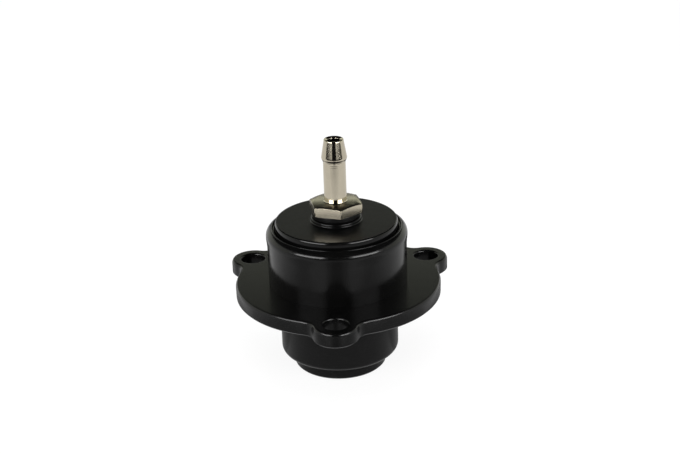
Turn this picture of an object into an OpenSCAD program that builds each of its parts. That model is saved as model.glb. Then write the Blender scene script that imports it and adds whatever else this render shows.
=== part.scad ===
// Piston type blow off valve with a three lug flange and a hose nipple on its cap.
// Origin: centre of the mounting face, +Z up through the nipple, front lug towards -Y.

/* [Flange] */
// Diameter of the round flange plate
flange_d = 55; // [52:0.5:60]
// Thickness of the flange plate
flange_t = 4; // [3:0.1:6]
// Diameter of the circle through the bolt holes
bolt_circle_d = 55.4; // [53:0.2:60]
// Number of bolt lugs
lug_count = 3; // [2:1:5]
// Diameter of each bolt hole
bolt_hole_d = 6.4; // [5:0.1:8]
// Wall left around each bolt hole
lug_wall = 2.7; // [2:0.1:4]
// Radius of the inward curve between a lug and the plate
lug_fillet_r = 4; // [2:0.5:6]
// Chamfer along the edges of plate and lugs
flange_chamfer = 0.4; // [0.2:0.1:0.8]
// Chamfer at both ends of each bolt hole
hole_chamfer = 0.3; // [0.1:0.1:0.6]

/* [Housing] */
// Thickness of the housing wall around the cap
housing_wall = 1.65; // [1.4:0.05:4]
// Height of the rim above the mounting face
rim_h = 19.35; // [18:0.05:24]
// How far the rim stands out from the wall
rim_lip = 0.22; // [0.1:0.02:0.6]
// Height of the straight band of the rim
rim_band = 0.55; // [0.2:0.05:1]
// Height over which the wall widens to the rim
rim_taper = 2.3; // [1:0.1:4]
// Radius of the rim's outer edge
rim_round = 2.2; // [1:0.1:2.2]
// Bevel on the rim's inner edge
rim_bevel = 0.25; // [0.1:0.05:0.3]

/* [Skirt] */
// Diameter of the skirt that enters the port
skirt_d = 31.74; // [30:0.02:33]
// Length of the skirt below the mounting face
skirt_len = 16.25; // [13:0.25:20]
// Radius of the skirt's lower edge
skirt_round = 1.5; // [0.5:0.1:1.5]
// Depth of the piston's stop below the mounting face
stop_depth = 6; // [4:0.5:8]
// Least wall around and under the piston's bore
bore_wall = 0.87; // [0.8:0.01:2]

/* [Cap] */
// Diameter of the raised disc of the cap
cap_d = 32.6; // [30:0.1:38]
// Gap between the disc and the rim
cap_gap = 0.6; // [0.4:0.05:0.8]
// Height of the disc above the rim
cap_rise = 1.7; // [1:0.1:3]
// Width of the bevel around the disc
cap_bevel_w = 0.55; // [0.2:0.05:1]
// Height of the bevel around the disc
cap_bevel_h = 0.62; // [0.2:0.02:1]
// Thickness of the cap's lower flange
cap_flange_t = 4.2; // [3.6:0.1:5]
// Gap around the cap's lower flange
cap_clearance = 0.05; // [0.03:0.01:0.1]
// Diameter of the boss under the nipple
boss_d = 13.5; // [13:0.1:16]
// Height of the boss
boss_h = 1.1; // [0.8:0.05:2]
// Radius of the boss's upper edge
boss_round = 0.4; // [0.2:0.1:0.6]
// Radius of the curve at the boss's foot
boss_foot_r = 0.35; // [0.2:0.05:0.4]
// Depth of the spring's pocket in the cap
pocket_depth = 2.6; // [1.5:0.1:3.5]

/* [Retaining ring] */
// Diameter of the ring's wire
ring_wire_d = 1.2; // [1:0.1:1.4]
// Depth of the ring below the rim
ring_cover = 0.53; // [0.4:0.01:1]
// Opening between the ring's ends, in degrees
ring_gap = 35; // [20:5:60]
// Gap between the ring and the faces that hold it
ring_clearance = 0.02; // [0.01:0.01:0.05]

/* [Nipple] */
// Width of the hexagon across its flats
hex_af = 12.7; // [12:0.1:14]
// Diameter of the flat circle on top of the hexagon
hex_face_d = 11.2; // [10:0.1:11.8]
// Slope of the turned bevel on the hexagon
hex_bevel_angle = 15; // [10:5:30]
// Height of the hexagon
hex_h = 2.75; // [2:0.05:5]
// Turn of the hexagon about the valve's axis
hex_turn = -17.4; // [-30:0.1:30]
// Diameter of the hose pipe
pipe_d = 6; // [5.6:0.1:6.4]
// Length of the pipe up to the barb
pipe_len = 11.05; // [8:0.05:15]
// Radius of the curve at the pipe's foot
pipe_foot_r = 0.4; // [0.2:0.1:0.8]
// Largest diameter of the barb
barb_d = 6.88; // [6.6:0.02:7.6]
// Height of the barb's back slope
barb_back_h = 0.9; // [0.4:0.1:1.5]
// Height of the barb's cone
barb_cone_h = 5.05; // [3:0.05:7]
// Diameter of the barb's tip
tip_d = 5.2; // [4.9:0.1:5.5]
// Bevel on the tip's outer edge
tip_bevel = 0.15; // [0.05:0.05:0.2]
// Diameter of the air passage
passage_d = 3.6; // [2.6:0.1:3.9]
// Diameter of the countersink at the tip
countersink_d = 4.5; // [4:0.1:4.7]
// Diameter of the threaded stem in the cap
stem_d = 9.7; // [8:0.1:10.2]
// Gap around the stem in the cap
stem_clearance = 0.05; // [0.03:0.01:0.1]
// Length of the stem below the boss
stem_len = 5.35; // [4:0.05:6]

/* [Washer] */
// Diameter of the sealing washer
washer_d = 12.5; // [11.5:0.1:12.9]
// Thickness of the sealing washer
washer_t = 1.5; // [0.8:0.05:2]
// Radius of the washer's outer edges
washer_round = 0.3; // [0.1:0.05:0.35]

/* [Piston] */
// Diameter of the bore around the piston's head
piston_bore_d = 30; // [27:0.1:33]
// Gap around the piston's head
head_clearance = 0.1; // [0.06:0.01:0.1]
// Diameter of the piston's nose
nose_d = 24.8; // [22:0.1:26]
// Gap around the piston's nose
nose_clearance = 0.05; // [0.03:0.01:0.1]
// How far the nose stands below the skirt
nose_reach = 4.1; // [3:0.1:6]
// Bevel on the nose's lower edge
nose_bevel = 0.5; // [0.2:0.1:1]
// Thickness of the nose's wall
nose_wall = 1.7; // [1.4:0.1:2.4]
// Thickness of the nose's floor
nose_floor = 3; // [2:0.1:5]
// Lift of the piston from closed to open
travel = 8; // [5:0.5:9]
// Room left between piston and cap at full lift
lift_room = 0.3; // [0.2:0.1:0.6]
// Gap between the piston's head and its stop
stop_gap = 0.05; // [0.02:0.01:0.1]

/* [Seals and guide] */
// Thickness of the piston seal's cord
seal_cord_d = 2; // [1.6:0.1:2.4]
// Depth of the seal below the head's upper edge
seal_down = 3.6; // [2.5:0.1:4]
// Height of the guide band
guide_h = 2.5; // [1.5:0.1:3]
// Thickness of the guide band
guide_t = 1; // [0.8:0.1:1.5]
// Height of the guide band above the head's underside
guide_up = 1.4; // [1:0.1:1.8]
// Gap between seal or guide band and the bore
seal_clearance = 0.03; // [0.02:0.01:0.05]
// Gap between a seal or band and its groove
groove_clearance = 0.02; // [0.01:0.01:0.05]
// Extra width of a seal's groove
groove_room = 0.3; // [0.1:0.05:0.5]
// Thickness of the cap seal's cord
cap_seal_cord_d = 1.5; // [1.2:0.1:1.6]
// Diameter through the middle of the flange seal
flange_seal_d = 39.4; // [37:0.2:42]
// Width of the flange seal's pressed section
flange_seal_w = 2.2; // [1.8:0.1:3]
// Height of the flange seal's pressed section
flange_seal_h = 1.4; // [1:0.1:1.7]

/* [Spring] */
// Thickness of the spring's wire
spring_wire_d = 1.6; // [1.2:0.1:1.8]
// Gap between the spring and the piston's wall
spring_side_gap = 1.1; // [0.6:0.1:2]
// Number of turns
spring_turns = 8.5; // [6:0.5:10]
// Gap between the spring and its seats
spring_gap = 0.02; // [0.01:0.01:0.05]
// Gap between the spring and the side of its pocket
pocket_clearance = 0.4; // [0.2:0.1:0.8]

/* [Hidden] */
$fn = 96;

// Overrun of a cutter past the face it opens
over = 1;

black_anodised = "#1b1c1b";
black_rubber = "#101010";
nickel = "#bdb4a4";
spring_steel = "#8d9094";
guide_plastic = "#d9d4c4";

flange_r = flange_d / 2;
bolt_circle_r = bolt_circle_d / 2;
lug_r = bolt_hole_d / 2 + lug_wall;
front = -90;
lug_directions = [for (i = [0 : lug_count - 1]) front + i * 360 / lug_count];
// How far the webs stop short of the points where curve, plate and lug touch
web_relief = 0.4;

// Place of the curve that is tangent to both plate and lug
fillet_from_axis = flange_r + lug_fillet_r;
fillet_from_lug = lug_r + lug_fillet_r;
fillet_angle = acos((pow(fillet_from_axis, 2) + pow(bolt_circle_r, 2) - pow(fillet_from_lug, 2))
                    / (2 * fillet_from_axis * bolt_circle_r));
lug_angle = acos((pow(fillet_from_lug, 2) + pow(bolt_circle_r, 2) - pow(fillet_from_axis, 2))
                 / (2 * fillet_from_lug * bolt_circle_r));

bore_r = piston_bore_d / 2;
cap_r = cap_d / 2;
cap_bore_r = cap_r + cap_gap;
cap_flange_r = cap_bore_r - cap_clearance;
cap_shoulder_z = rim_h - ring_cover - ring_wire_d - ring_clearance;
cap_seat_z = cap_shoulder_z - cap_flange_t;
housing_r = cap_bore_r + housing_wall;
rim_r = housing_r + rim_lip;
rim_round_z = rim_h - rim_round;
skirt_r = skirt_d / 2;
cap_top_z = rim_h + cap_rise;
boss_r = boss_d / 2;
boss_top_z = cap_top_z + boss_h;
stem_r = stem_d / 2;
pocket_z = cap_seat_z + pocket_depth;

ring_r = cap_bore_r + ring_clearance;
ring_z = cap_shoulder_z + ring_clearance + ring_wire_d / 2;

washer_r = washer_d / 2;
hex_z = boss_top_z + washer_t;
hex_top_z = hex_z + hex_h;
hex_corner_r = hex_af / 2 / cos(30);
pipe_r = pipe_d / 2;
barb_r = barb_d / 2;
tip_r = tip_d / 2;
pipe_top_z = hex_top_z + pipe_len;
barb_z = pipe_top_z + barb_back_h;
tip_z = barb_z + barb_cone_h;
passage_r = passage_d / 2;
countersink_r = countersink_d / 2;
stem_end_z = boss_top_z - stem_len;

head_r = bore_r - head_clearance;
nose_r = nose_d / 2;
nose_bore_r = nose_r + nose_clearance;
stop_z = -stop_depth;
head_z = stop_z + stop_gap;
head_top_z = cap_seat_z - travel - lift_room;
nose_z = -skirt_len - nose_reach;
floor_z = nose_z + nose_floor;
cup_r = nose_r - nose_wall;

seal_cord_r = seal_cord_d / 2;
seal_z = head_top_z - seal_down;
seal_r = bore_r - seal_clearance - seal_cord_r;
guide_z = head_z + guide_up;
guide_outer_r = bore_r - seal_clearance;
guide_inner_r = guide_outer_r - guide_t;
cap_seal_cord_r = cap_seal_cord_d / 2;
cap_seal_z = cap_seat_z + cap_flange_t / 2;
cap_seal_r = cap_bore_r - groove_clearance - cap_seal_cord_r;
flange_seal_r = flange_seal_d / 2;

spring_outer_r = cup_r - spring_side_gap;
spring_r = spring_outer_r - spring_wire_d / 2;
pocket_r = spring_outer_r + pocket_clearance;
spring_z = floor_z + spring_gap;
spring_h = pocket_z - spring_gap - spring_z;

// Round plate with both edges bevelled
module bevelled_disc(r, h, bevel) {
    rotate_extrude()
        polygon([[0, 0], [r - bevel, 0], [r, bevel], [r, h - bevel], [r - bevel, h], [0, h]]);
}

// Cutter for a hole or an inward curve that leaves bevelled edges behind
module spool(r, h, bevel) {
    rotate_extrude()
        polygon([[0, -over], [r + bevel + over, -over], [r, bevel], [r, h - bevel],
                 [r + bevel + over, h + over], [0, h + over]]);
}

// Ring shaped cutter with a flat floor, from an inner to an outer radius
module groove(inner_r, outer_r, z, h) {
    translate([0, 0, z])
        difference() {
            cylinder(r = outer_r, h = h);
            translate([0, 0, -over])
                cylinder(r = inner_r, h = h + 2 * over);
        }
}

// Round cord bent to a closed ring
module cord_ring(r, cord_r, z) {
    translate([0, 0, z])
        rotate_extrude()
            translate([r, 0])
                circle(r = cord_r, $fn = 48);
}

// A point turned about the valve's axis
function turned(p, a) = [p.x * cos(a) - p.y * sin(a), p.x * sin(a) + p.y * cos(a)];

module at_bolts() {
    for (a = lug_directions)
        translate(turned([bolt_circle_r, 0], a))
            children();
}

// Web that joins the lug in one direction to the plate, with an inward curve on both sides
module lug_web(direction) {
    curve = fillet_from_axis * [cos(fillet_angle), sin(fillet_angle)];
    root_angle = fillet_angle - asin(web_relief / flange_r);
    tip_angle = lug_angle - asin(web_relief / lug_r);
    root = [cos(root_angle), sin(root_angle)];
    flank = [root * flange_r / 2, root * fillet_from_axis,
             [bolt_circle_r - fillet_from_lug * cos(tip_angle), fillet_from_lug * sin(tip_angle)]];
    outline = concat(flank, [[bolt_circle_r, 0]], [for (i = [2 : -1 : 0]) [flank[i].x, -flank[i].y]]);
    difference() {
        linear_extrude(flange_t)
            polygon([for (p = outline) turned(p, direction)]);
        for (side = [-1, 1])
            translate(turned([curve.x, side * curve.y], direction))
                spool(lug_fillet_r, flange_t, flange_chamfer);
    }
}

module flange_plate() {
    bevelled_disc(flange_r, flange_t, flange_chamfer);
    at_bolts()
        bevelled_disc(lug_r, flange_t, flange_chamfer);
    for (a = lug_directions)
        lug_web(a);
}

// Half section of the housing wall with its rounded rim
module housing_section() {
    polygon([[0, 0], [housing_r, 0], [housing_r, rim_round_z - rim_band - rim_taper],
             [rim_r, rim_round_z - rim_band], [rim_r, rim_round_z], [rim_r - rim_round, rim_h],
             [0, rim_h]]);
    translate([rim_r - rim_round, rim_round_z])
        circle(r = rim_round);
}

// Half section of the skirt with its rounded lower edge, and of the wall that the piston's bore needs
module skirt_section() {
    polygon([[0, -skirt_len], [skirt_r - skirt_round, -skirt_len], [skirt_r, skirt_round - skirt_len],
             [skirt_r, flange_t], [0, flange_t]]);
    translate([skirt_r - skirt_round, skirt_round - skirt_len])
        circle(r = skirt_round);
    translate([0, stop_z - bore_wall])
        square([bore_r + bore_wall, bore_wall - stop_z + flange_t]);
}

// Half section of the stepped bore for cap, piston head and nose
module bore_section() {
    polygon([[0, rim_h + over], [cap_bore_r + rim_bevel + over, rim_h + over],
             [cap_bore_r, rim_h - rim_bevel], [cap_bore_r, cap_seat_z], [bore_r, cap_seat_z],
             [bore_r, stop_z], [nose_bore_r, stop_z], [nose_bore_r, -skirt_len - over],
             [0, -skirt_len - over]]);
}

module valve_body() {
    color(black_anodised)
        difference() {
            union() {
                flange_plate();
                rotate_extrude()
                    housing_section();
                rotate_extrude()
                    skirt_section();
            }
            rotate_extrude()
                bore_section();
            cord_ring(ring_r, ring_wire_d / 2 + ring_clearance, ring_z);
            at_bolts()
                spool(bolt_hole_d / 2, flange_t, hole_chamfer);
            groove(flange_seal_r - flange_seal_w / 2 - groove_room / 2,
                   flange_seal_r + flange_seal_w / 2 + groove_room / 2,
                   -over, flange_seal_h + groove_clearance + over);
        }
}

module cap() {
    color(black_anodised)
        difference() {
            union() {
                rotate_extrude()
                    polygon([[0, cap_seat_z], [cap_flange_r, cap_seat_z], [cap_flange_r, cap_shoulder_z],
                             [cap_r, cap_shoulder_z], [cap_r, cap_top_z - cap_bevel_h],
                             [cap_r - cap_bevel_w, cap_top_z], [0, cap_top_z]]);
                rotate_extrude() {
                    difference() {
                        polygon([[0, pocket_z], [boss_r + boss_foot_r, pocket_z],
                                 [boss_r + boss_foot_r, cap_top_z + boss_foot_r],
                                 [boss_r, cap_top_z + boss_foot_r], [boss_r, boss_top_z - boss_round],
                                 [boss_r - boss_round, boss_top_z], [0, boss_top_z]]);
                        translate([boss_r + boss_foot_r, cap_top_z + boss_foot_r])
                            circle(r = boss_foot_r, $fn = 48);
                    }
                    translate([boss_r - boss_round, boss_top_z - boss_round])
                        circle(r = boss_round);
                }
            }
            translate([0, 0, cap_seat_z - over])
                cylinder(r = pocket_r, h = pocket_depth + over);
            translate([0, 0, cap_seat_z])
                cylinder(r = stem_r + stem_clearance, h = boss_top_z - cap_seat_z + over);
            groove(cap_seal_r - cap_seal_cord_r - groove_clearance, cap_bore_r + over,
                   cap_seal_z - cap_seal_cord_r - groove_room / 2, cap_seal_cord_d + groove_room);
        }
}

module cap_seal() {
    color(black_rubber)
        cord_ring(cap_seal_r, cap_seal_cord_r, cap_seal_z);
}

module retaining_ring() {
    color(spring_steel)
        translate([0, 0, ring_z])
            rotate(90 + ring_gap / 2)
                rotate_extrude(angle = 360 - ring_gap)
                    translate([ring_r, 0])
                        circle(r = ring_wire_d / 2, $fn = 48);
}

// Hexagon with its upper corners turned off
module bevelled_hexagon() {
    hex_face_r = hex_face_d / 2;
    bevel_r = hex_corner_r + over;
    intersection() {
        translate([0, 0, hex_z])
            rotate(hex_turn)
                cylinder(r = hex_corner_r, h = hex_h, $fn = 6);
        rotate_extrude()
            polygon([[0, hex_z - over], [bevel_r, hex_z - over],
                     [bevel_r, hex_top_z - (bevel_r - hex_face_r) * tan(hex_bevel_angle)],
                     [hex_face_r, hex_top_z], [0, hex_top_z]]);
    }
}

module hose_nipple() {
    color(nickel)
        difference() {
            union() {
                translate([0, 0, stem_end_z])
                    cylinder(r = stem_r, h = hex_z - stem_end_z + over);
                bevelled_hexagon();
                rotate_extrude()
                    difference() {
                        polygon([[0, hex_z], [pipe_r + pipe_foot_r, hex_z],
                                 [pipe_r + pipe_foot_r, hex_top_z + pipe_foot_r],
                                 [pipe_r, hex_top_z + pipe_foot_r], [pipe_r, pipe_top_z],
                                 [barb_r, barb_z], [tip_r, tip_z - tip_bevel],
                                 [tip_r - tip_bevel, tip_z], [0, tip_z]]);
                        translate([pipe_r + pipe_foot_r, hex_top_z + pipe_foot_r])
                            circle(r = pipe_foot_r, $fn = 48);
                    }
            }
            rotate_extrude()
                polygon([[0, stem_end_z - over], [passage_r, stem_end_z - over],
                         [passage_r, tip_z - countersink_r + passage_r], [countersink_r, tip_z],
                         [countersink_r + over, tip_z + over], [0, tip_z + over]]);
        }
}

module nipple_washer() {
    color(black_rubber)
        rotate_extrude()
            difference() {
                union() {
                    polygon([[0, boss_top_z], [washer_r - washer_round, boss_top_z],
                             [washer_r, boss_top_z + washer_round], [washer_r, hex_z - washer_round],
                             [washer_r - washer_round, hex_z], [0, hex_z]]);
                    for (z = [boss_top_z + washer_round, hex_z - washer_round])
                        translate([washer_r - washer_round, z])
                            circle(r = washer_round, $fn = 48);
                }
                translate([-over, boss_top_z - over])
                    square([stem_r + stem_clearance + over, washer_t + 2 * over]);
            }
}

module piston() {
    color(black_anodised)
        difference() {
            rotate_extrude()
                polygon([[0, nose_z], [nose_r - nose_bevel, nose_z], [nose_r, nose_z + nose_bevel],
                         [nose_r, head_z], [head_r, head_z], [head_r, head_top_z], [cup_r, head_top_z],
                         [cup_r, floor_z], [0, floor_z]]);
            groove(seal_r - seal_cord_r - groove_clearance, bore_r + over,
                   seal_z - seal_cord_r - groove_room / 2, seal_cord_d + groove_room);
            groove(guide_inner_r - groove_clearance, bore_r + over,
                   guide_z - groove_clearance, guide_h + 2 * groove_clearance);
        }
}

module piston_seal() {
    color(black_rubber)
        cord_ring(seal_r, seal_cord_r, seal_z);
}

module piston_guide_ring() {
    color(guide_plastic)
        groove(guide_inner_r, guide_outer_r, guide_z, guide_h);
}

// Flange seal at the height it has when the valve is bolted down
module flange_seal() {
    half_h = flange_seal_h / 2;
    half_w = flange_seal_w / 2 - half_h;
    color(black_rubber)
        rotate_extrude()
            translate([flange_seal_r, half_h]) {
                translate([-half_w, -half_h])
                    square([2 * half_w, flange_seal_h]);
                for (side = [-1, 1])
                    translate([side * half_w, 0])
                        circle(r = half_h, $fn = 48);
            }
}

// Height of the wire's centre after a number of turns, with one closed turn at each end
function coil_z(turn) =
    let (foot = 0.25 * spring_wire_d,
         closed = 1.05 * spring_wire_d,
         pitch = (spring_h - 2 * foot - 2 * closed) / (spring_turns - 2))
    turn < 1 ? foot + closed * turn
    : turn > spring_turns - 1 ? spring_h - foot - closed * (spring_turns - turn)
    : foot + closed + pitch * (turn - 1);

module return_spring() {
    sides = 8;
    steps_per_turn = 16;
    rings = spring_turns * steps_per_turn;
    wire_r = spring_wire_d / 2;
    // The lowest and highest turns are ground flat
    points = [for (i = [0 : rings], k = [0 : sides - 1])
        let (turn = i / steps_per_turn,
             r = spring_r + wire_r * cos(360 * (k + 0.5) / sides),
             z = coil_z(turn) + wire_r * sin(360 * (k + 0.5) / sides))
        [r * cos(360 * turn), r * sin(360 * turn), min(spring_h, max(0, z))]];
    walls = [for (i = [0 : rings - 1], k = [0 : sides - 1])
        let (a = i * sides + k, b = i * sides + (k + 1) % sides)
        each [[a, b, a + sides], [b, b + sides, a + sides]]];
    ends = [[for (k = [sides - 1 : -1 : 0]) k],
            [for (k = [0 : sides - 1]) rings * sides + k]];
    color(spring_steel)
        translate([0, 0, spring_z])
            polyhedron(points, concat(walls, ends));
}

valve_body();
cap();
cap_seal();
retaining_ring();
hose_nipple();
nipple_washer();
return_spring();
piston();
piston_seal();
piston_guide_ring();
flange_seal();
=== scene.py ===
"""Blow off valve: turned and milled pieces, finishes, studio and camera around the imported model."""
import math

import bmesh
import bpy
from mathutils import Matrix, Vector


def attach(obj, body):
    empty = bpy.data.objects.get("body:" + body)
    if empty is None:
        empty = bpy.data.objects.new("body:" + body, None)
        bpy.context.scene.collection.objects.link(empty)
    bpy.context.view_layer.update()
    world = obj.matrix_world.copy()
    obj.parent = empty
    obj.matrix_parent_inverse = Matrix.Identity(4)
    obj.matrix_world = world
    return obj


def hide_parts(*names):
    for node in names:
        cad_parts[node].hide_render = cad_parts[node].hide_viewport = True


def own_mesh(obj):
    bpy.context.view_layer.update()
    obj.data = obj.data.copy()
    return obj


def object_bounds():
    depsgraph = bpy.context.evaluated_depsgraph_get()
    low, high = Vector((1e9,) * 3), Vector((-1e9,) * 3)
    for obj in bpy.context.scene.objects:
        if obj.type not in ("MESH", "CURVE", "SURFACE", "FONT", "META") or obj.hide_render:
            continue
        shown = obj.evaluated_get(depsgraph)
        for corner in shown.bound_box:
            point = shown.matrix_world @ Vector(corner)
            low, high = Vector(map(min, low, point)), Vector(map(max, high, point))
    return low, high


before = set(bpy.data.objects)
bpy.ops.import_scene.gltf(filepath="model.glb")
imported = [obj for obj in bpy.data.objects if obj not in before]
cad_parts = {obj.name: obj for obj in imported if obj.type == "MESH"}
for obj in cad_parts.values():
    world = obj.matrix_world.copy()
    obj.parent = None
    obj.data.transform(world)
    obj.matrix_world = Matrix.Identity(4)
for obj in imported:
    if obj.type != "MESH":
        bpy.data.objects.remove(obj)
cad_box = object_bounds()

# Sizes are in millimetres, as on a drawing, and become metres in the mesh.
MM = 0.001
FACE_DEPTH = 0.05

# In metres: points this close are welded, and a point this close to a size counts as being there.
WELD, TOUCH = 1e-7, 2e-6

# Steps round the valve's axis, the flange's curves, lugs, plate and holes, and the spring's wire and turns
STEPS = 192
CURVE_STEPS, LUG_STEPS, PLATE_STEPS, HOLE_STEPS = 12, 44, 27, 64
WIRE_STEPS, COIL_STEPS = 14, 40

# Edges: width of a broken edge, least angle that is broken and least angle that is shaded sharp
EDGE_BREAK, BODY_EDGE_BREAK, BREAK_ANGLE, SHARP_ANGLE = 0.05, 0.07, 28, 35
# How much flat faces count in the shading beside the narrow ones at their edges
FLAT_WEIGHT = 80

# Flange; the steps of its upper edges are given in bevels
PLATE_R, PLATE_T, PLATE_BEVEL, PLATE_STRIP = 27.5, 4.0, 0.4, 0.5
BOLT_R, LUG_R, HOLE_R, HOLE_BEVEL, HOLE_STRIP = 27.7, 5.9, 3.2, 0.3, 0.3
DRESS_FOOT, DRESS_STEP = 2, 0.6
CURVE_R = 4.0
LUG_DIRECTIONS = (-90, 30, 150)
HUB_R = 22.0

# Housing, skirt and bores; the wall flares out to the rim between two heights
WALL_R, FLARE_LOW_Z, FLARE_TOP_Z = 18.55, 14.3, 16.6
RIM_R, RIM_Z, RIM_ROUND, RIM_SWEEP = 18.77, 19.35, 2.2, 68.9
LIP_R, LIP_Z, LIP_ROUND, LIP_FOOT_Z = 17.16, 19.2, 0.2, 19.1
CAP_BORE_R, SEAT_Z, HEAD_BORE_R, STOP_Z, NOSE_BORE_R = 16.9, 13.4, 15.0, -6.0, 12.45
RING_R, RING_Z, RING_GROOVE_R = 16.92, 18.22, 0.62
SKIRT_R, SKIRT_Z, SKIRT_ROUND = 15.87, -16.25, 1.5
SEAL_IN, SEAL_OUT, SEAL_DEPTH = 18.45, 20.95, 1.42

# Cap; its upper edge falls in two steps
CAP_R, CAP_Z, CAP_EDGE_RUN, CAP_EDGE_DROP, CAP_STEP_RUN, CAP_STEP_DROP = 16.3, 21.05, 0.5, 0.7, 0.19, 0.17
BOSS_R, BOSS_Z, BOSS_ROUND, BOSS_FOOT = 6.75, 22.15, 0.4, 0.35
CAP_FLANGE_R, SHOULDER_Z, POCKET_R, POCKET_Z, STEM_HOLE_R = 16.85, 17.6, 10.0, 16.0, 4.9
CAP_GROOVE_R, CAP_GROOVE_LOW_Z, CAP_GROOVE_TOP_Z = 15.36, 14.6, 16.4

# Nipple and washer; two fine turned lines run round the pipe below the barb
HEX_R, HEX_FACE_R, HEX_BEVEL, HEX_Z, HEX_TOP_Z, HEX_TURN = 6.35, 5.6, 15, 23.65, 26.4, -17.4
PIPE_R, FOOT_R, PIPE_TOP_Z = 3.0, 0.3, 37.45
LINE_HEIGHTS, LINE_HALF, LINE_EDGE, LINE_DEPTH = (36.5, 36.95), 0.1, 0.14, 0.012
BARB_R, BARB_Z, BARB_ROUND, TIP_R, TIP_Z, TIP_BEVEL = 3.44, 38.35, 0.25, 2.6, 43.4, 0.15
CONE_POINTS = (0.1, 0.95)
PASSAGE_R, SINK_R, STEM_R, STEM_Z = 1.8, 2.25, 4.85, 16.8
WASHER_R, WASHER_ROUND = 6.25, 0.3

# Piston, with grooves for its guide band and seal, and spring
NOSE_R, NOSE_Z, NOSE_BEVEL, HEAD_R, HEAD_Z, HEAD_TOP_Z = 12.4, -20.35, 0.5, 14.9, -5.95, 5.1
GUIDE_R, GUIDE_LOW_Z, GUIDE_TOP_Z = 13.95, -4.57, -2.03
HEAD_SEAL_R, HEAD_SEAL_LOW_Z, HEAD_SEAL_TOP_Z = 12.95, 0.35, 2.65
CUP_R, CUP_Z = 10.7, -17.35
COIL_R, WIRE_R, COIL_LOW_Z, COIL_TOP_Z, COIL_TURNS, LIFT = 8.8, 0.8, -17.33, 15.98, 8.5, 8.0


# Drawing and turning

def draw(bm, *moves):
    """A profile in the XZ plane.

    (r, z) is a straight line to that point, (r, z, angle, steps) an arc about it.
    """
    first = tip = bm.verts.new((moves[0][0] * MM, 0, moves[0][1] * MM))
    for move in moves[1:]:
        if len(move) == 2:
            end = bm.verts.new((move[0] * MM, 0, move[1] * MM))
            bm.edges.new((tip, end))
            tip = end
        else:
            tip = swing(bm, tip, (move[0], 0, move[1]), (0, -1, 0), move[2], move[3])
    return first, tip


def points_of(edges):
    """Vertices of the edges, each once and always in the same order."""
    return list(dict.fromkeys(v for e in edges for v in e.verts))


def swing(bm, vert, centre, axis, angle, steps):
    """Spins one vertex into an arc and returns the arc's last vertex."""
    arc = bmesh.ops.spin(bm, geom=[vert], cent=Vector(centre) * MM, axis=axis,
                         angle=math.radians(angle), steps=steps)
    return next(g for g in arc["geom_last"] if isinstance(g, bmesh.types.BMVert))


def weld(bm):
    bmesh.ops.remove_doubles(bm, verts=bm.verts, dist=WELD)
    bmesh.ops.recalc_face_normals(bm, faces=bm.faces)


def turn(bm, start=0):
    """Spins the drawn lines, which have no faces yet, round the valve's axis."""
    lines = [e for e in bm.edges if e.is_wire]
    points = points_of(lines)
    bmesh.ops.rotate(bm, verts=points, cent=(0, 0, 0), matrix=Matrix.Rotation(math.radians(start), 3, "Z"))
    bmesh.ops.spin(bm, geom=points + lines, cent=(0, 0, 0), axis=(0, 0, 1), angle=math.tau, steps=STEPS,
                   use_merge=True)
    weld(bm)


def turned_section(*moves, start=0):
    """A closed section turned to a solid ring."""
    bm = bmesh.new()
    first, tip = draw(bm, *moves)
    bm.edges.new((tip, first))
    turn(bm, start)
    return bm


def radius(vert):
    return math.hypot(vert.co.x, vert.co.y)


def soften(bm, edges, width, segments):
    bmesh.ops.bevel(bm, geom=edges, offset=width * MM, offset_type="OFFSET", segments=segments,
                    profile=0.5, affect="EDGES", material=-1)


def break_edges(bm, width=EDGE_BREAK):
    """Rounds every edge that stands out and turns by more than a curve's steps do."""
    sharp = [e for e in bm.edges if e.is_manifold and e.calc_face_angle_signed() > math.radians(BREAK_ANGLE)]
    soften(bm, sharp, width, 2)


def make_piece(bm, name, material, body, node):
    """Puts the mesh in the scene, sets its finish and body, and hides the CAD node it stands in for."""
    mesh = bpy.data.meshes.new(name)
    bm.to_mesh(mesh)
    bm.free()
    mesh.materials.append(material)
    for face in mesh.polygons:
        face.use_smooth = True
    mesh.set_sharp_from_angle(angle=math.radians(SHARP_ANGLE))
    piece = bpy.data.objects.new(name, mesh)
    bpy.context.scene.collection.objects.link(piece)
    flats = piece.modifiers.new("flat faces", "WEIGHTED_NORMAL")
    flats.weight = FLAT_WEIGHT
    flats.keep_sharp = True
    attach(piece, body)
    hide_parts(node)
    return piece


# Flange of the body

def turned_point(x, y, direction):
    a = math.radians(direction)
    return x * math.cos(a) - y * math.sin(a), x * math.sin(a) + y * math.cos(a)


def corner_angle(near, other, opposite):
    """Angle between two sides of a triangle, in degrees."""
    return math.degrees(math.acos((near * near + other * other - opposite * opposite) / (2 * near * other)))


AXIS_TO_CURVE = PLATE_R + CURVE_R
LUG_TO_CURVE = LUG_R + CURVE_R
AXIS_ANGLE = corner_angle(AXIS_TO_CURVE, BOLT_R, LUG_TO_CURVE)
LUG_ANGLE = corner_angle(LUG_TO_CURVE, BOLT_R, AXIS_TO_CURVE)
CURVE_ANGLE = 180 - AXIS_ANGLE - LUG_ANGLE


def sweep(bm, swings):
    """Carries the drawn lines round a chain of upright axes, back to where they began."""
    lines = [e for e in bm.edges if e.is_wire]
    section = points_of(lines) + lines
    for centre, angle, steps in swings:
        section = bmesh.ops.spin(bm, geom=section, cent=Vector((*centre, 0)) * MM, axis=(0, 0, 1),
                                 angle=math.radians(angle), steps=steps)["geom_last"]
    bmesh.ops.remove_doubles(bm, verts=bm.verts, dist=WELD)


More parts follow.
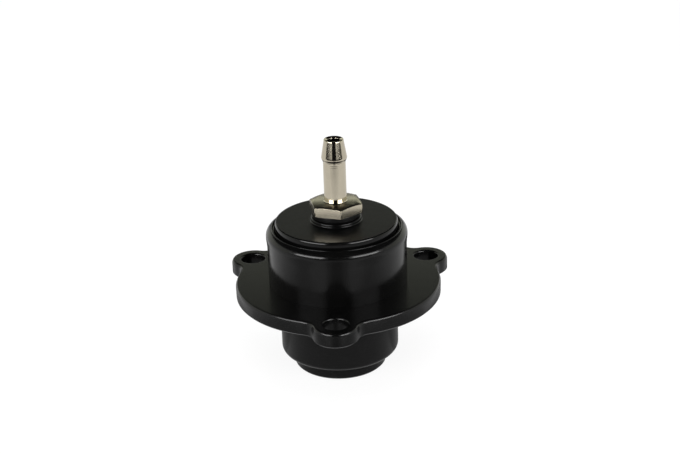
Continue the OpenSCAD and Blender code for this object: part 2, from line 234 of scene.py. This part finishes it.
def edge_lines(bm, edge, inward, bevel, strip):
    """Section of an edge, bevelled below and dressed in two steps above, with a strip of both flat faces."""
    low, high = edge + inward * bevel, edge + inward * bevel / 2
    draw(bm, (low + inward * strip, 0), (low, 0), (edge, bevel), (edge, PLATE_T - DRESS_FOOT * bevel),
         (high, PLATE_T - DRESS_STEP * bevel), (low, PLATE_T), (low + inward * strip, PLATE_T))


def mill_flange(bm):
    """Edges of the plate with its lugs and of the bolt holes; the flat faces between them come last."""
    cx = AXIS_TO_CURVE * math.cos(math.radians(AXIS_ANGLE))
    cy = AXIS_TO_CURVE * math.sin(math.radians(AXIS_ANGLE))
    swings = []
    for direction in LUG_DIRECTIONS:
        swings += [(turned_point(cx, -cy, direction), -CURVE_ANGLE, CURVE_STEPS),
                   (turned_point(BOLT_R, 0, direction), 360 - 2 * LUG_ANGLE, LUG_STEPS),
                   (turned_point(cx, cy, direction), -CURVE_ANGLE, CURVE_STEPS),
                   ((0, 0), 360 / len(LUG_DIRECTIONS) - 2 * AXIS_ANGLE, PLATE_STEPS)]
    edge_lines(bm, PLATE_R, -1, PLATE_BEVEL, PLATE_STRIP)
    bmesh.ops.rotate(bm, verts=bm.verts, cent=(0, 0, 0),
                     matrix=Matrix.Rotation(math.radians(LUG_DIRECTIONS[0] - AXIS_ANGLE), 3, "Z"))
    sweep(bm, swings)
    for direction in LUG_DIRECTIONS:
        x, y = turned_point(BOLT_R, 0, direction)
        before = set(bm.verts)
        edge_lines(bm, HOLE_R, 1, HOLE_BEVEL, HOLE_STRIP)
        bmesh.ops.translate(bm, verts=[v for v in bm.verts if v not in before], vec=Vector((x, y, 0)) * MM)
        sweep(bm, [((x, y), 360, HOLE_STEPS)])


def fill_flange(bm):
    """Flat faces between the plate's edge, the bolt holes and the hub."""
    for z in (0, PLATE_T):
        loops = [e for e in bm.edges if e.is_boundary and all(abs(v.co.z - z * MM) < TOUCH for v in e.verts)]
        bmesh.ops.triangle_fill(bm, use_beauty=True, edges=loops, normal=(0, 0, 1 if z else -1))


# Pieces

def make_body():
    bm = bmesh.new()
    mill_flange(bm)
    # The ring's groove is an arc about the wire's middle, which lies a little outside the bore.
    outside = RING_R - CAP_BORE_R
    groove_top_z = RING_Z + math.sqrt(RING_GROOVE_R ** 2 - outside ** 2)
    groove_sweep = -180 - 2 * math.degrees(math.asin(outside / RING_GROOVE_R))
    draw(bm, (HUB_R, PLATE_T), (WALL_R, PLATE_T), (WALL_R, FLARE_LOW_Z), (RIM_R, FLARE_TOP_Z),
         (RIM_R, RIM_Z - RIM_ROUND), (RIM_R - RIM_ROUND, RIM_Z - RIM_ROUND, RIM_SWEEP, 16),
         (LIP_R + LIP_ROUND, LIP_Z), (LIP_R, LIP_Z, 180, 10), (CAP_BORE_R, LIP_FOOT_Z),
         (CAP_BORE_R, groove_top_z), (RING_R, RING_Z, groove_sweep, 12), (CAP_BORE_R, SEAT_Z),
         (HEAD_BORE_R, SEAT_Z), (HEAD_BORE_R, STOP_Z), (NOSE_BORE_R, STOP_Z), (NOSE_BORE_R, SKIRT_Z),
         (SKIRT_R - SKIRT_ROUND, SKIRT_Z), (SKIRT_R - SKIRT_ROUND, SKIRT_Z + SKIRT_ROUND, 90, 10),
         (SKIRT_R, 0), (SEAL_IN, 0), (SEAL_IN, SEAL_DEPTH), (SEAL_OUT, SEAL_DEPTH), (SEAL_OUT, 0),
         (HUB_R, 0))
    turn(bm)
    fill_flange(bm)
    weld(bm)
    break_edges(bm, BODY_EDGE_BREAK)
    make_piece(bm, "body", anodised_body, "valve", "valve_body")


def make_cap():
    bm = turned_section(
        (STEM_HOLE_R, BOSS_Z), (BOSS_R - BOSS_ROUND, BOSS_Z),
        (BOSS_R - BOSS_ROUND, BOSS_Z - BOSS_ROUND, -90, 6), (BOSS_R, CAP_Z + BOSS_FOOT),
        (BOSS_R + BOSS_FOOT, CAP_Z + BOSS_FOOT, 90, 6), (CAP_R - CAP_EDGE_RUN, CAP_Z),
        (CAP_R - CAP_STEP_RUN, CAP_Z - CAP_STEP_DROP), (CAP_R, CAP_Z - CAP_EDGE_DROP), (CAP_R, SHOULDER_Z),
        (CAP_FLANGE_R, SHOULDER_Z), (CAP_FLANGE_R, CAP_GROOVE_TOP_Z), (CAP_GROOVE_R, CAP_GROOVE_TOP_Z),
        (CAP_GROOVE_R, CAP_GROOVE_LOW_Z), (CAP_FLANGE_R, CAP_GROOVE_LOW_Z), (CAP_FLANGE_R, SEAT_Z),
        (POCKET_R, SEAT_Z), (POCKET_R, POCKET_Z), (STEM_HOLE_R, POCKET_Z))
    break_edges(bm)
    make_piece(bm, "cap", anodised_cap, "valve", "cap")


def make_nipple():
    fall = math.tan(math.radians(HEX_BEVEL))
    fine_line = ((-LINE_EDGE, 0), (-LINE_HALF, 0), (0, LINE_DEPTH), (LINE_HALF, 0), (LINE_EDGE, 0))
    fine_lines = [(PIPE_R - depth, z + along) for z in LINE_HEIGHTS for along, depth in fine_line]
    # Two points near its ends keep the barb's cone straight between its rounded edges.
    cone_r, cone_h = TIP_R - BARB_R, TIP_Z - TIP_BEVEL - BARB_Z
    cone = [(BARB_R + cone_r * along, BARB_Z + cone_h * along) for along in CONE_POINTS]
    bm = turned_section(
        (STEM_R, STEM_Z), (STEM_R, HEX_Z), (HEX_R, HEX_Z), (HEX_R, HEX_TOP_Z - (HEX_R - HEX_FACE_R) * fall),
        (HEX_FACE_R, HEX_TOP_Z), (PIPE_R + FOOT_R, HEX_TOP_Z),
        (PIPE_R + FOOT_R, HEX_TOP_Z + FOOT_R, -90, 6), *fine_lines, (PIPE_R, PIPE_TOP_Z), (BARB_R, BARB_Z),
        *cone, (TIP_R, TIP_Z - TIP_BEVEL), (TIP_R - TIP_BEVEL, TIP_Z), (SINK_R, TIP_Z),
        (PASSAGE_R, TIP_Z - SINK_R + PASSAGE_R), (PASSAGE_R, STEM_Z), start=HEX_TURN)
    # The round is pulled out to six flats, and the turned bevel falls towards the corners.
    for vert in bm.verts:
        if abs(radius(vert) - HEX_R * MM) < TOUCH:
            from_flat = (math.degrees(math.atan2(vert.co.y, vert.co.x)) - HEX_TURN) % 60 - 30
            reach = 1 / math.cos(math.radians(from_flat))
            vert.co.x *= reach
            vert.co.y *= reach
            if vert.co.z > (HEX_Z + HEX_TOP_Z) / 2 * MM:
                vert.co.z = (HEX_TOP_Z - (HEX_R * reach - HEX_FACE_R) * fall) * MM
    barb_edge = [e for e in bm.edges if all(abs(radius(v) - BARB_R * MM) < TOUCH for v in e.verts)]
    soften(bm, barb_edge, BARB_ROUND, 4)
    break_edges(bm)
    make_piece(bm, "nipple", nickel, "valve", "hose_nipple")


def make_washer():
    low, high, r, c = BOSS_Z, HEX_Z, WASHER_R - WASHER_ROUND, WASHER_ROUND
    bm = turned_section((STEM_HOLE_R, low), (r, low), (r, low + c, 90, 5), (WASHER_R, high - c),
                        (r, high - c, 90, 5), (STEM_HOLE_R, high))
    make_piece(bm, "washer", washer_rubber, "valve", "nipple_washer")


def make_piston():
    bm = bmesh.new()
    draw(bm, (0, NOSE_Z), (NOSE_R - NOSE_BEVEL, NOSE_Z), (NOSE_R, NOSE_Z + NOSE_BEVEL), (NOSE_R, HEAD_Z),
         (HEAD_R, HEAD_Z), (HEAD_R, GUIDE_LOW_Z), (GUIDE_R, GUIDE_LOW_Z), (GUIDE_R, GUIDE_TOP_Z),
         (HEAD_R, GUIDE_TOP_Z), (HEAD_R, HEAD_SEAL_LOW_Z), (HEAD_SEAL_R, HEAD_SEAL_LOW_Z),
         (HEAD_SEAL_R, HEAD_SEAL_TOP_Z), (HEAD_R, HEAD_SEAL_TOP_Z), (HEAD_R, HEAD_TOP_Z),
         (CUP_R, HEAD_TOP_Z), (CUP_R, CUP_Z), (0, CUP_Z))
    turn(bm)
    break_edges(bm)
    make_piece(bm, "piston_cup", anodised_piston, "piston_group", "piston")


def make_spring():
    """Closed turns at both ends, ground flat, built at its length with the piston at rest; nothing here
    shortens it as the piston lifts.
    """
    bm = bmesh.new()
    length = COIL_TOP_Z - COIL_LOW_Z
    foot, closed, open_turns = 0.5 * WIRE_R, 2.1 * WIRE_R, COIL_TURNS - 2
    open_pitch = (length - 2 * foot - 2 * closed) / open_turns
    start = Matrix.Translation(Vector((COIL_R, 0, COIL_LOW_Z + foot)) * MM)
    place = start @ Matrix.Rotation(math.pi / 2, 4, "X")
    wire = bmesh.ops.create_circle(bm, cap_ends=False, radius=WIRE_R * MM, segments=WIRE_STEPS,
                                   matrix=place)["verts"]
    section = wire + bm.edges[:]
    for count, pitch in ((1, closed), (open_turns, open_pitch), (1, closed)):
        steps = int(count * COIL_STEPS)
        coil = bmesh.ops.spin(bm, geom=section, cent=(0, 0, 0), axis=(0, 0, 1), angle=math.tau * count,
                              steps=steps, dvec=(0, 0, pitch * count / steps * MM))
        section = coil["geom_last"]
    weld(bm)
    for z, up in ((COIL_LOW_Z, -1), (COIL_TOP_Z, 1)):
        bmesh.ops.bisect_plane(bm, geom=bm.verts[:] + bm.edges[:] + bm.faces[:], dist=WELD,
                               plane_co=(0, 0, z * MM), plane_no=(0, 0, up), clear_outer=True)
    bmesh.ops.holes_fill(bm, edges=[e for e in bm.edges if e.is_boundary], sides=0)
    weld(bm)
    spring = make_piece(bm, "spring", spring_wire, "valve", "return_spring")
    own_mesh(spring)


# Nodes that finishes and studio share

def calculate(tree, operation, *values):
    """A math node; each value is a number or the socket that gives it."""
    node = tree.nodes.new("ShaderNodeMath")
    node.operation = operation
    for socket, value in zip(node.inputs, values):
        if isinstance(value, (int, float)):
            socket.default_value = value
        else:
            tree.links.new(value, socket)
    return node.outputs[0]


def map_range(tree, value, begin, end, first, last):
    """Goes from first to last while the value goes from begin to end."""
    node = tree.nodes.new("ShaderNodeMapRange")
    for socket, number in (("From Min", begin), ("From Max", end), ("To Min", first), ("To Max", last)):
        node.inputs[socket].default_value = number
    tree.links.new(value, node.inputs["Value"])
    return node.outputs["Result"]


def coordinate(tree, vector, axis):
    """One coordinate of a vector."""
    node = tree.nodes.new("ShaderNodeSeparateXYZ")
    tree.links.new(vector, node.inputs[0])
    return node.outputs[axis]


def grey(value):
    return value, value, value


# Finishes

MICRON = 1e-6
# Most of Blender's noise lies between these values.
NOISE_LOW, NOISE_HIGH = 0.3, 0.7


def wave_scale(period):
    """Blender's wave repeats every tau / 20 of its scaled coordinate."""
    return math.tau / (20 * period * MM)


def make_finish(name, dark, light, rough, metallic=0.0, specular=0.5, lines=0.2, line_depth=0.4,
                grain=0.06, grain_depth=0.4, cloud=4.0, matt=None):
    """Two close tones in soft clouds, uneven roughness, turned lines and a fine grain.

    Patterns are sized in millimetres and their depths in microns. matt (side, height, roughness)
    makes what lies below a height, or a flat face at it, rougher.
    """
    material = bpy.data.materials.new(name)
    material.use_nodes = True
    tree = material.node_tree
    nodes, links = tree.nodes, tree.links
    shader = nodes["Principled BSDF"]
    shader.inputs["Metallic"].default_value = metallic
    shader.inputs["Specular IOR Level"].default_value = specular
    place = nodes.new("ShaderNodeTexCoord").outputs["Object"]

    def noise(size, detail):
        node = nodes.new("ShaderNodeTexNoise")
        node.inputs["Scale"].default_value = 1 / (size * MM)
        node.inputs["Detail"].default_value = detail
        links.new(place, node.inputs["Vector"])
        return node.outputs["Fac"]

    def wave(kind):
        node = nodes.new("ShaderNodeTexWave")
        node.wave_type = kind
        node.bands_direction = "Z"
        node.rings_direction = "Z"
        node.inputs["Scale"].default_value = wave_scale(lines)
        node.inputs["Distortion"].default_value = 0.6
        node.inputs["Detail"].default_value = 2
        links.new(place, node.inputs["Vector"])
        return node.outputs["Fac"]

    def scaled(value, low, high):
        return map_range(tree, value, NOISE_LOW, NOISE_HIGH, low, high)

    def bumped(height, depth, below=None):
        node = nodes.new("ShaderNodeBump")
        node.inputs["Distance"].default_value = depth * MICRON
        links.new(height, node.inputs["Height"])
        if below:
            links.new(below, node.inputs["Normal"])
        return node.outputs["Normal"]

    tone = nodes.new("ShaderNodeMix")
    tone.data_type = "RGBA"
    tone.inputs["A"].default_value = (*dark, 1)
    tone.inputs["B"].default_value = (*light, 1)
    links.new(scaled(noise(cloud, 4), 0, 1), tone.inputs["Factor"])
    links.new(tone.outputs["Result"], shader.inputs["Base Color"])
    roughness = scaled(noise(cloud / 3, 6), *rough)
    if matt:
        side, height, rougher = matt
        test = {"at": "COMPARE", "below": "LESS_THAN"}[side]
        zone = calculate(tree, test, coordinate(tree, place, "Z"), height * MM, FACE_DEPTH * MM)
        roughness = calculate(tree, "MULTIPLY_ADD", zone, rougher, roughness)
    links.new(roughness, shader.inputs["Roughness"])
    normal = bumped(noise(grain, 2), grain_depth)
    if line_depth:
        normal = bumped(wave("RINGS"), line_depth, normal)
        normal = bumped(wave("BANDS"), line_depth, normal)
    links.new(normal, shader.inputs["Normal"])
    return material


anodised_body = make_finish("anodised_body", grey(0.0016), grey(0.0026), (0.15, 0.19), specular=0.17,
                            matt=("below", PLATE_T + 0.01, 0.05))
anodised_cap = make_finish("anodised_cap", grey(0.0016), grey(0.0026), (0.13, 0.17), specular=0.155,
                           lines=0.16, matt=("at", CAP_Z, 0.22))
anodised_piston = make_finish("anodised_piston", grey(0.0020), grey(0.0032), (0.29, 0.36), specular=0.12,
                              lines=0.22, line_depth=0.8)
nickel = make_finish("nickel", (0.415, 0.375, 0.295), (0.46, 0.42, 0.33), (0.085, 0.12), metallic=1.0,
                     lines=0.35, line_depth=1.2, grain=0.1, grain_depth=0.3,
                     matt=("below", HEX_TOP_Z + 0.02, 0.107))
washer_rubber = make_finish("washer_rubber", grey(0.003), grey(0.005), (0.30, 0.40), specular=0.12,
                            line_depth=0, grain=0.12, grain_depth=2)
seal_rubber = make_finish("seal_rubber", grey(0.009), grey(0.014), (0.42, 0.55), specular=0.4,
                          line_depth=0, grain=0.15, grain_depth=3)
ring_wire = make_finish("ring_wire", grey(0.10), (0.14, 0.14, 0.135), (0.29, 0.36), metallic=1.0,
                        lines=0.3, line_depth=0.5)
spring_wire = make_finish("spring_wire", (0.40, 0.41, 0.43), (0.50, 0.51, 0.53), (0.29, 0.36), metallic=1.0,
                          lines=0.3, line_depth=0.6)
guide_plastic = make_finish("guide_plastic", (0.70, 0.67, 0.59), (0.78, 0.75, 0.67), (0.45, 0.55),
                            line_depth=0.6, grain=0.2, grain_depth=2)

make_body()
make_cap()
make_nipple()
make_washer()
make_piston()
make_spring()

for node, material in (("cap_seal", seal_rubber), ("piston_seal", seal_rubber), ("flange_seal", seal_rubber),
                       ("retaining_ring", ring_wire), ("piston_guide_ring", guide_plastic)):
    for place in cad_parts[node].material_slots:
        place.material = material


# Studio, in metres

WHITE, BLACK = grey(1), grey(0.012)
BACK_TINT, WALL_TINT = (0.96, 1.0, 0.83), (0.98, 1.0, 0.9)
PAPER_TONE, PAPER_GLOW, PAPER_SHADE = 0.8, 0.88, 0.16
CALM_LEVEL = 1.0
FLOOR_Z = cad_box[0][2] - 0.00002
# Mats lie a hair above the floor, and each middle one a hair above the mat that it overlaps.
MAT_Z, MIDDLE_MAT_Z, MIDDLE_LINE_Z = FLOOR_Z + 0.0004, FLOOR_Z + 0.0005, FLOOR_Z + 0.0006


def stage_sheet(name, width, height, place, material):
    """A flat sheet of the studio, centred on its place and turned by it."""
    bm = bmesh.new()
    bmesh.ops.create_grid(bm, x_segments=1, y_segments=1, size=0.5)
    bmesh.ops.scale(bm, vec=(width, height, 1), verts=bm.verts)
    bmesh.ops.transform(bm, matrix=place, verts=bm.verts)
    mesh = bpy.data.meshes.new(name)
    bm.to_mesh(mesh)
    bm.free()
    mesh.materials.append(material)
    sheet = bpy.data.objects.new(name, mesh)
    bpy.context.scene.collection.objects.link(sheet)
    return sheet


def stage_material(name):
    """A material with nothing but its output yet."""
    material = bpy.data.materials.new(name)
    material.use_nodes = True
    tree = material.node_tree
    tree.nodes.remove(tree.nodes["Principled BSDF"])
    return material, tree


def seen_ray(tree):
    """1 for camera, glossy and transmission rays."""
    path = tree.nodes.new("ShaderNodeLightPath")
    either = calculate(tree, "MAXIMUM", path.outputs["Is Camera Ray"], path.outputs["Is Glossy Ray"])
    return calculate(tree, "MAXIMUM", either, path.outputs["Is Transmission Ray"])


def make_floor_paper():
    """White paper that glows where it is seen and still takes a soft shadow."""
    material, tree = stage_material("floor_paper")
    nodes, links = tree.nodes, tree.links
    paper = nodes.new("ShaderNodeBsdfDiffuse")
    paper.inputs["Color"].default_value = (*grey(PAPER_TONE), 1)
    glow = nodes.new("ShaderNodeEmission")
    glow.inputs["Strength"].default_value = PAPER_GLOW
    shade = nodes.new("ShaderNodeBsdfDiffuse")
    shade.inputs["Color"].default_value = (*grey(PAPER_SHADE), 1)
    lit = nodes.new("ShaderNodeAddShader")
    links.new(glow.outputs[0], lit.inputs[0])
    links.new(shade.outputs[0], lit.inputs[1])
    mix = nodes.new("ShaderNodeMixShader")
    links.new(seen_ray(tree), mix.inputs["Fac"])
    links.new(paper.outputs[0], mix.inputs[1])
    links.new(lit.outputs[0], mix.inputs[2])
    links.new(mix.outputs[0], nodes["Material Output"].inputs["Surface"])
    return material


def calmed(tree, level, heights):
    """The level, but CALM_LEVEL for flat faces at these heights that the camera sees itself."""
    spot = tree.nodes.new("ShaderNodeNewGeometry")
    path = tree.nodes.new("ShaderNodeLightPath")
    # A ray's start lies its length back along its way, and the start's height tells which face it left.
    start = tree.nodes.new("ShaderNodeVectorMath")
    start.operation = "MULTIPLY_ADD"
    tree.links.new(spot.outputs["Incoming"], start.inputs[0])
    tree.links.new(path.outputs["Ray Length"], start.inputs[1])
    tree.links.new(spot.outputs["Position"], start.inputs[2])
    start_z = coordinate(tree, start.outputs[0], "Z")
    # The depth of a first bounce is 1.
    first_bounce = calculate(tree, "LESS_THAN", path.outputs["Ray Depth"], 1.5)
    for height in heights:
        near = calculate(tree, "COMPARE", start_z, height * MM, FACE_DEPTH * MM)
        choice = tree.nodes.new("ShaderNodeMix")
        choice.inputs["B"].default_value = CALM_LEVEL
        tree.links.new(calculate(tree, "MULTIPLY", near, first_bounce), choice.inputs["Factor"])
        tree.links.new(level, choice.inputs["A"])
        level = choice.outputs["Result"]
    return level


def make_board(name, colour, strength, fade, calm):
    """Plain board of the studio; a fade (axis, from, to, last strength) dims it along that axis.

    A faded board is calm, and only as bright as white paper, for flat faces at the heights in calm.
    """
    material, tree = stage_material(name)
    tone = tree.nodes.new("ShaderNodeEmission")
    tone.inputs["Color"].default_value = (*colour, 1)
    tone.inputs["Strength"].default_value = strength
    if fade:
        axis, begin, end, last = fade
        place = tree.nodes.new("ShaderNodeTexCoord").outputs["Object"]
        level = map_range(tree, coordinate(tree, place, axis), begin, end, strength, last)
        if calm:
            level = calmed(tree, level, calm)
        tree.links.new(level, tone.inputs["Strength"])
    tree.links.new(tone.outputs[0], tree.nodes["Material Output"].inputs["Surface"])
    return material


def around(azimuth, elevation, distance, target=(0, 0, 0.012)):
    """Place of a sheet or lamp that faces the target; azimuth 0 is in front, positive to the right."""
    a, e = math.radians(azimuth), math.radians(elevation)
    way = Vector((math.sin(a) * math.cos(e), -math.cos(a) * math.cos(e), math.sin(e)))
    turn_to = way.to_track_quat("Z", "Y").to_matrix().to_4x4()
    return Matrix.Translation(Vector(target) + way * distance) @ turn_to


def flat(x, y, z):
    return Matrix.Translation((x, y, z))


def add_board(name, width, height, place, colour, strength=1.0, fade=None, calm=()):
    """A board that only the object's shine shows."""
    board = stage_sheet(name, width, height, place, make_board(name, colour, strength, fade, calm))
    board.visible_camera = False
    board.visible_diffuse = False
    board.visible_shadow = False


def add_lamp(name, azimuth, elevation, distance, width, height, power):
    """Even light, with no shine of its own."""
    lamp = bpy.data.lights.new(name, "AREA")
    lamp.shape = "RECTANGLE"
    lamp.size = width
    lamp.size_y = height
    lamp.energy = power
    box = bpy.data.objects.new(name, lamp)
    box.matrix_world = around(azimuth, elevation, distance)
    box.visible_camera = False
    box.visible_glossy = False
    bpy.context.scene.collection.objects.link(box)


def add_softbox(name, azimuth, elevation, distance, width, height, power, shine, fade):
    """Lamp for the even light and, in its place, the bright front that shows in the shine."""
    add_lamp(name, azimuth, elevation, distance, width, height, power)
    add_board(name + "_front", width, height, around(azimuth, elevation, distance), WHITE, shine, fade,
              calm=(PLATE_T, CAP_Z, HEX_TOP_Z))


stage_sheet("floor", 6.0, 6.0, flat(0, 0, FLOOR_Z), make_floor_paper())
add_board("front_mat", 4.0, 2.0, flat(0, -1.115, MAT_Z), WHITE, strength=0.95,
          fade=("Y", -0.145, -0.19, 0.012))
add_board("middle_mat", 0.044, 0.05, flat(0.002, -0.084, MIDDLE_MAT_Z), grey(0.6))
add_board("middle_line", 0.022, 0.05, flat(0.002, -0.084, MIDDLE_LINE_Z), grey(0.35))
# Painted shade: these grey and dark sheets on the floor, seen only in the shine, darken the paper that the
# walls, skirt and edges mirror near the valve.
add_board("near_painted_shade_mat", 0.15, 0.064, flat(0, -0.032, MAT_Z), grey(0.66))
add_board("rear_painted_shade_mat", 0.12, 0.07, flat(0, 0.08, MAT_Z), grey(0.08))
add_board("rear_near_painted_shade_mat", 0.12, 0.045, flat(0, 0.0225, MAT_Z), grey(0.35))
add_board("backdrop", 0.9, 0.38, around(182, 0, 1.15, (0, 0, 0.17)), grey(0.25))
add_board("front_flag", 0.34, 0.42, around(2, 20, 0.48), BLACK)
add_board("back_board", 3.0, 0.5, around(182, 0, 1.2, (0, 0, 0.62)), BACK_TINT, strength=1.15,
          fade=("Z", 0.485, 0.533, 0.1))
add_board("ceiling", 2.6, 2.6, flat(0, 0, 0.75), BLACK)
for side, azimuth in (("left", -113), ("right", 117)):
    add_board(side + "_wall", 1.12, 0.42, around(azimuth, 12, 0.8), WALL_TINT, strength=1.3)
for side, azimuth, width in (("left", -42.75, 0.491), ("right", 47.25, 0.467)):
    add_softbox(side + "_softbox", azimuth, elevation=18.5, distance=0.6, width=width, height=0.2,
                power=2.2, shine=20, fade=("Z", 0.175, 0.262, 4))
add_lamp("top_lamp", azimuth=0, elevation=90, distance=0.9, width=0.8, height=0.8, power=3.0)


def light_world(lit, seen):
    """White all round, at one level for the light it gives and at another where it is seen."""
    world = bpy.data.worlds.new("studio")
    bpy.context.scene.world = world
    world.use_nodes = True
    sky = world.node_tree
    background = sky.nodes["Background"]
    background.inputs["Color"].default_value = (*WHITE, 1)
    sky.links.new(map_range(sky, seen_ray(sky), 0, 1, lit, seen), background.inputs["Strength"])


light_world(lit=0.5, seen=1.0)


# Camera, as the photograph was taken

def add_camera():
    """A lens and place fitted to the circles of flange, rim and skirt; lengths are in millimetres."""
    elevation, roll, azimuth = math.radians(22.716), math.radians(-1.87), math.radians(2)
    aim, distance, focal_length, sensor_width = Vector((0.933, 0, 18.68)), 368.8, 73.76, 36
    spin = Matrix.Rotation(azimuth, 3, "Z")
    target = spin @ (aim * MM)
    away = spin @ Vector((0, -math.cos(elevation), math.sin(elevation)))
    right = spin @ Vector((1, 0, 0))
    up = spin @ Vector((0, math.sin(elevation), math.cos(elevation)))
    c, s = math.cos(roll), math.sin(roll)
    axes = Matrix((c * right + s * up, c * up - s * right, away)).transposed()
    lens = bpy.data.cameras.new("camera")
    lens.sensor_fit = "HORIZONTAL"
    lens.sensor_width = sensor_width
    lens.lens = focal_length
    lens.clip_start = 0.01
    camera = bpy.data.objects.new("camera", lens)
    camera.matrix_world = Matrix.Translation(target + away * distance * MM) @ axes.to_4x4()
    bpy.context.scene.collection.objects.link(camera)
    bpy.context.scene.camera = camera


add_camera()
bpy.context.scene.view_settings.view_transform = "Standard"
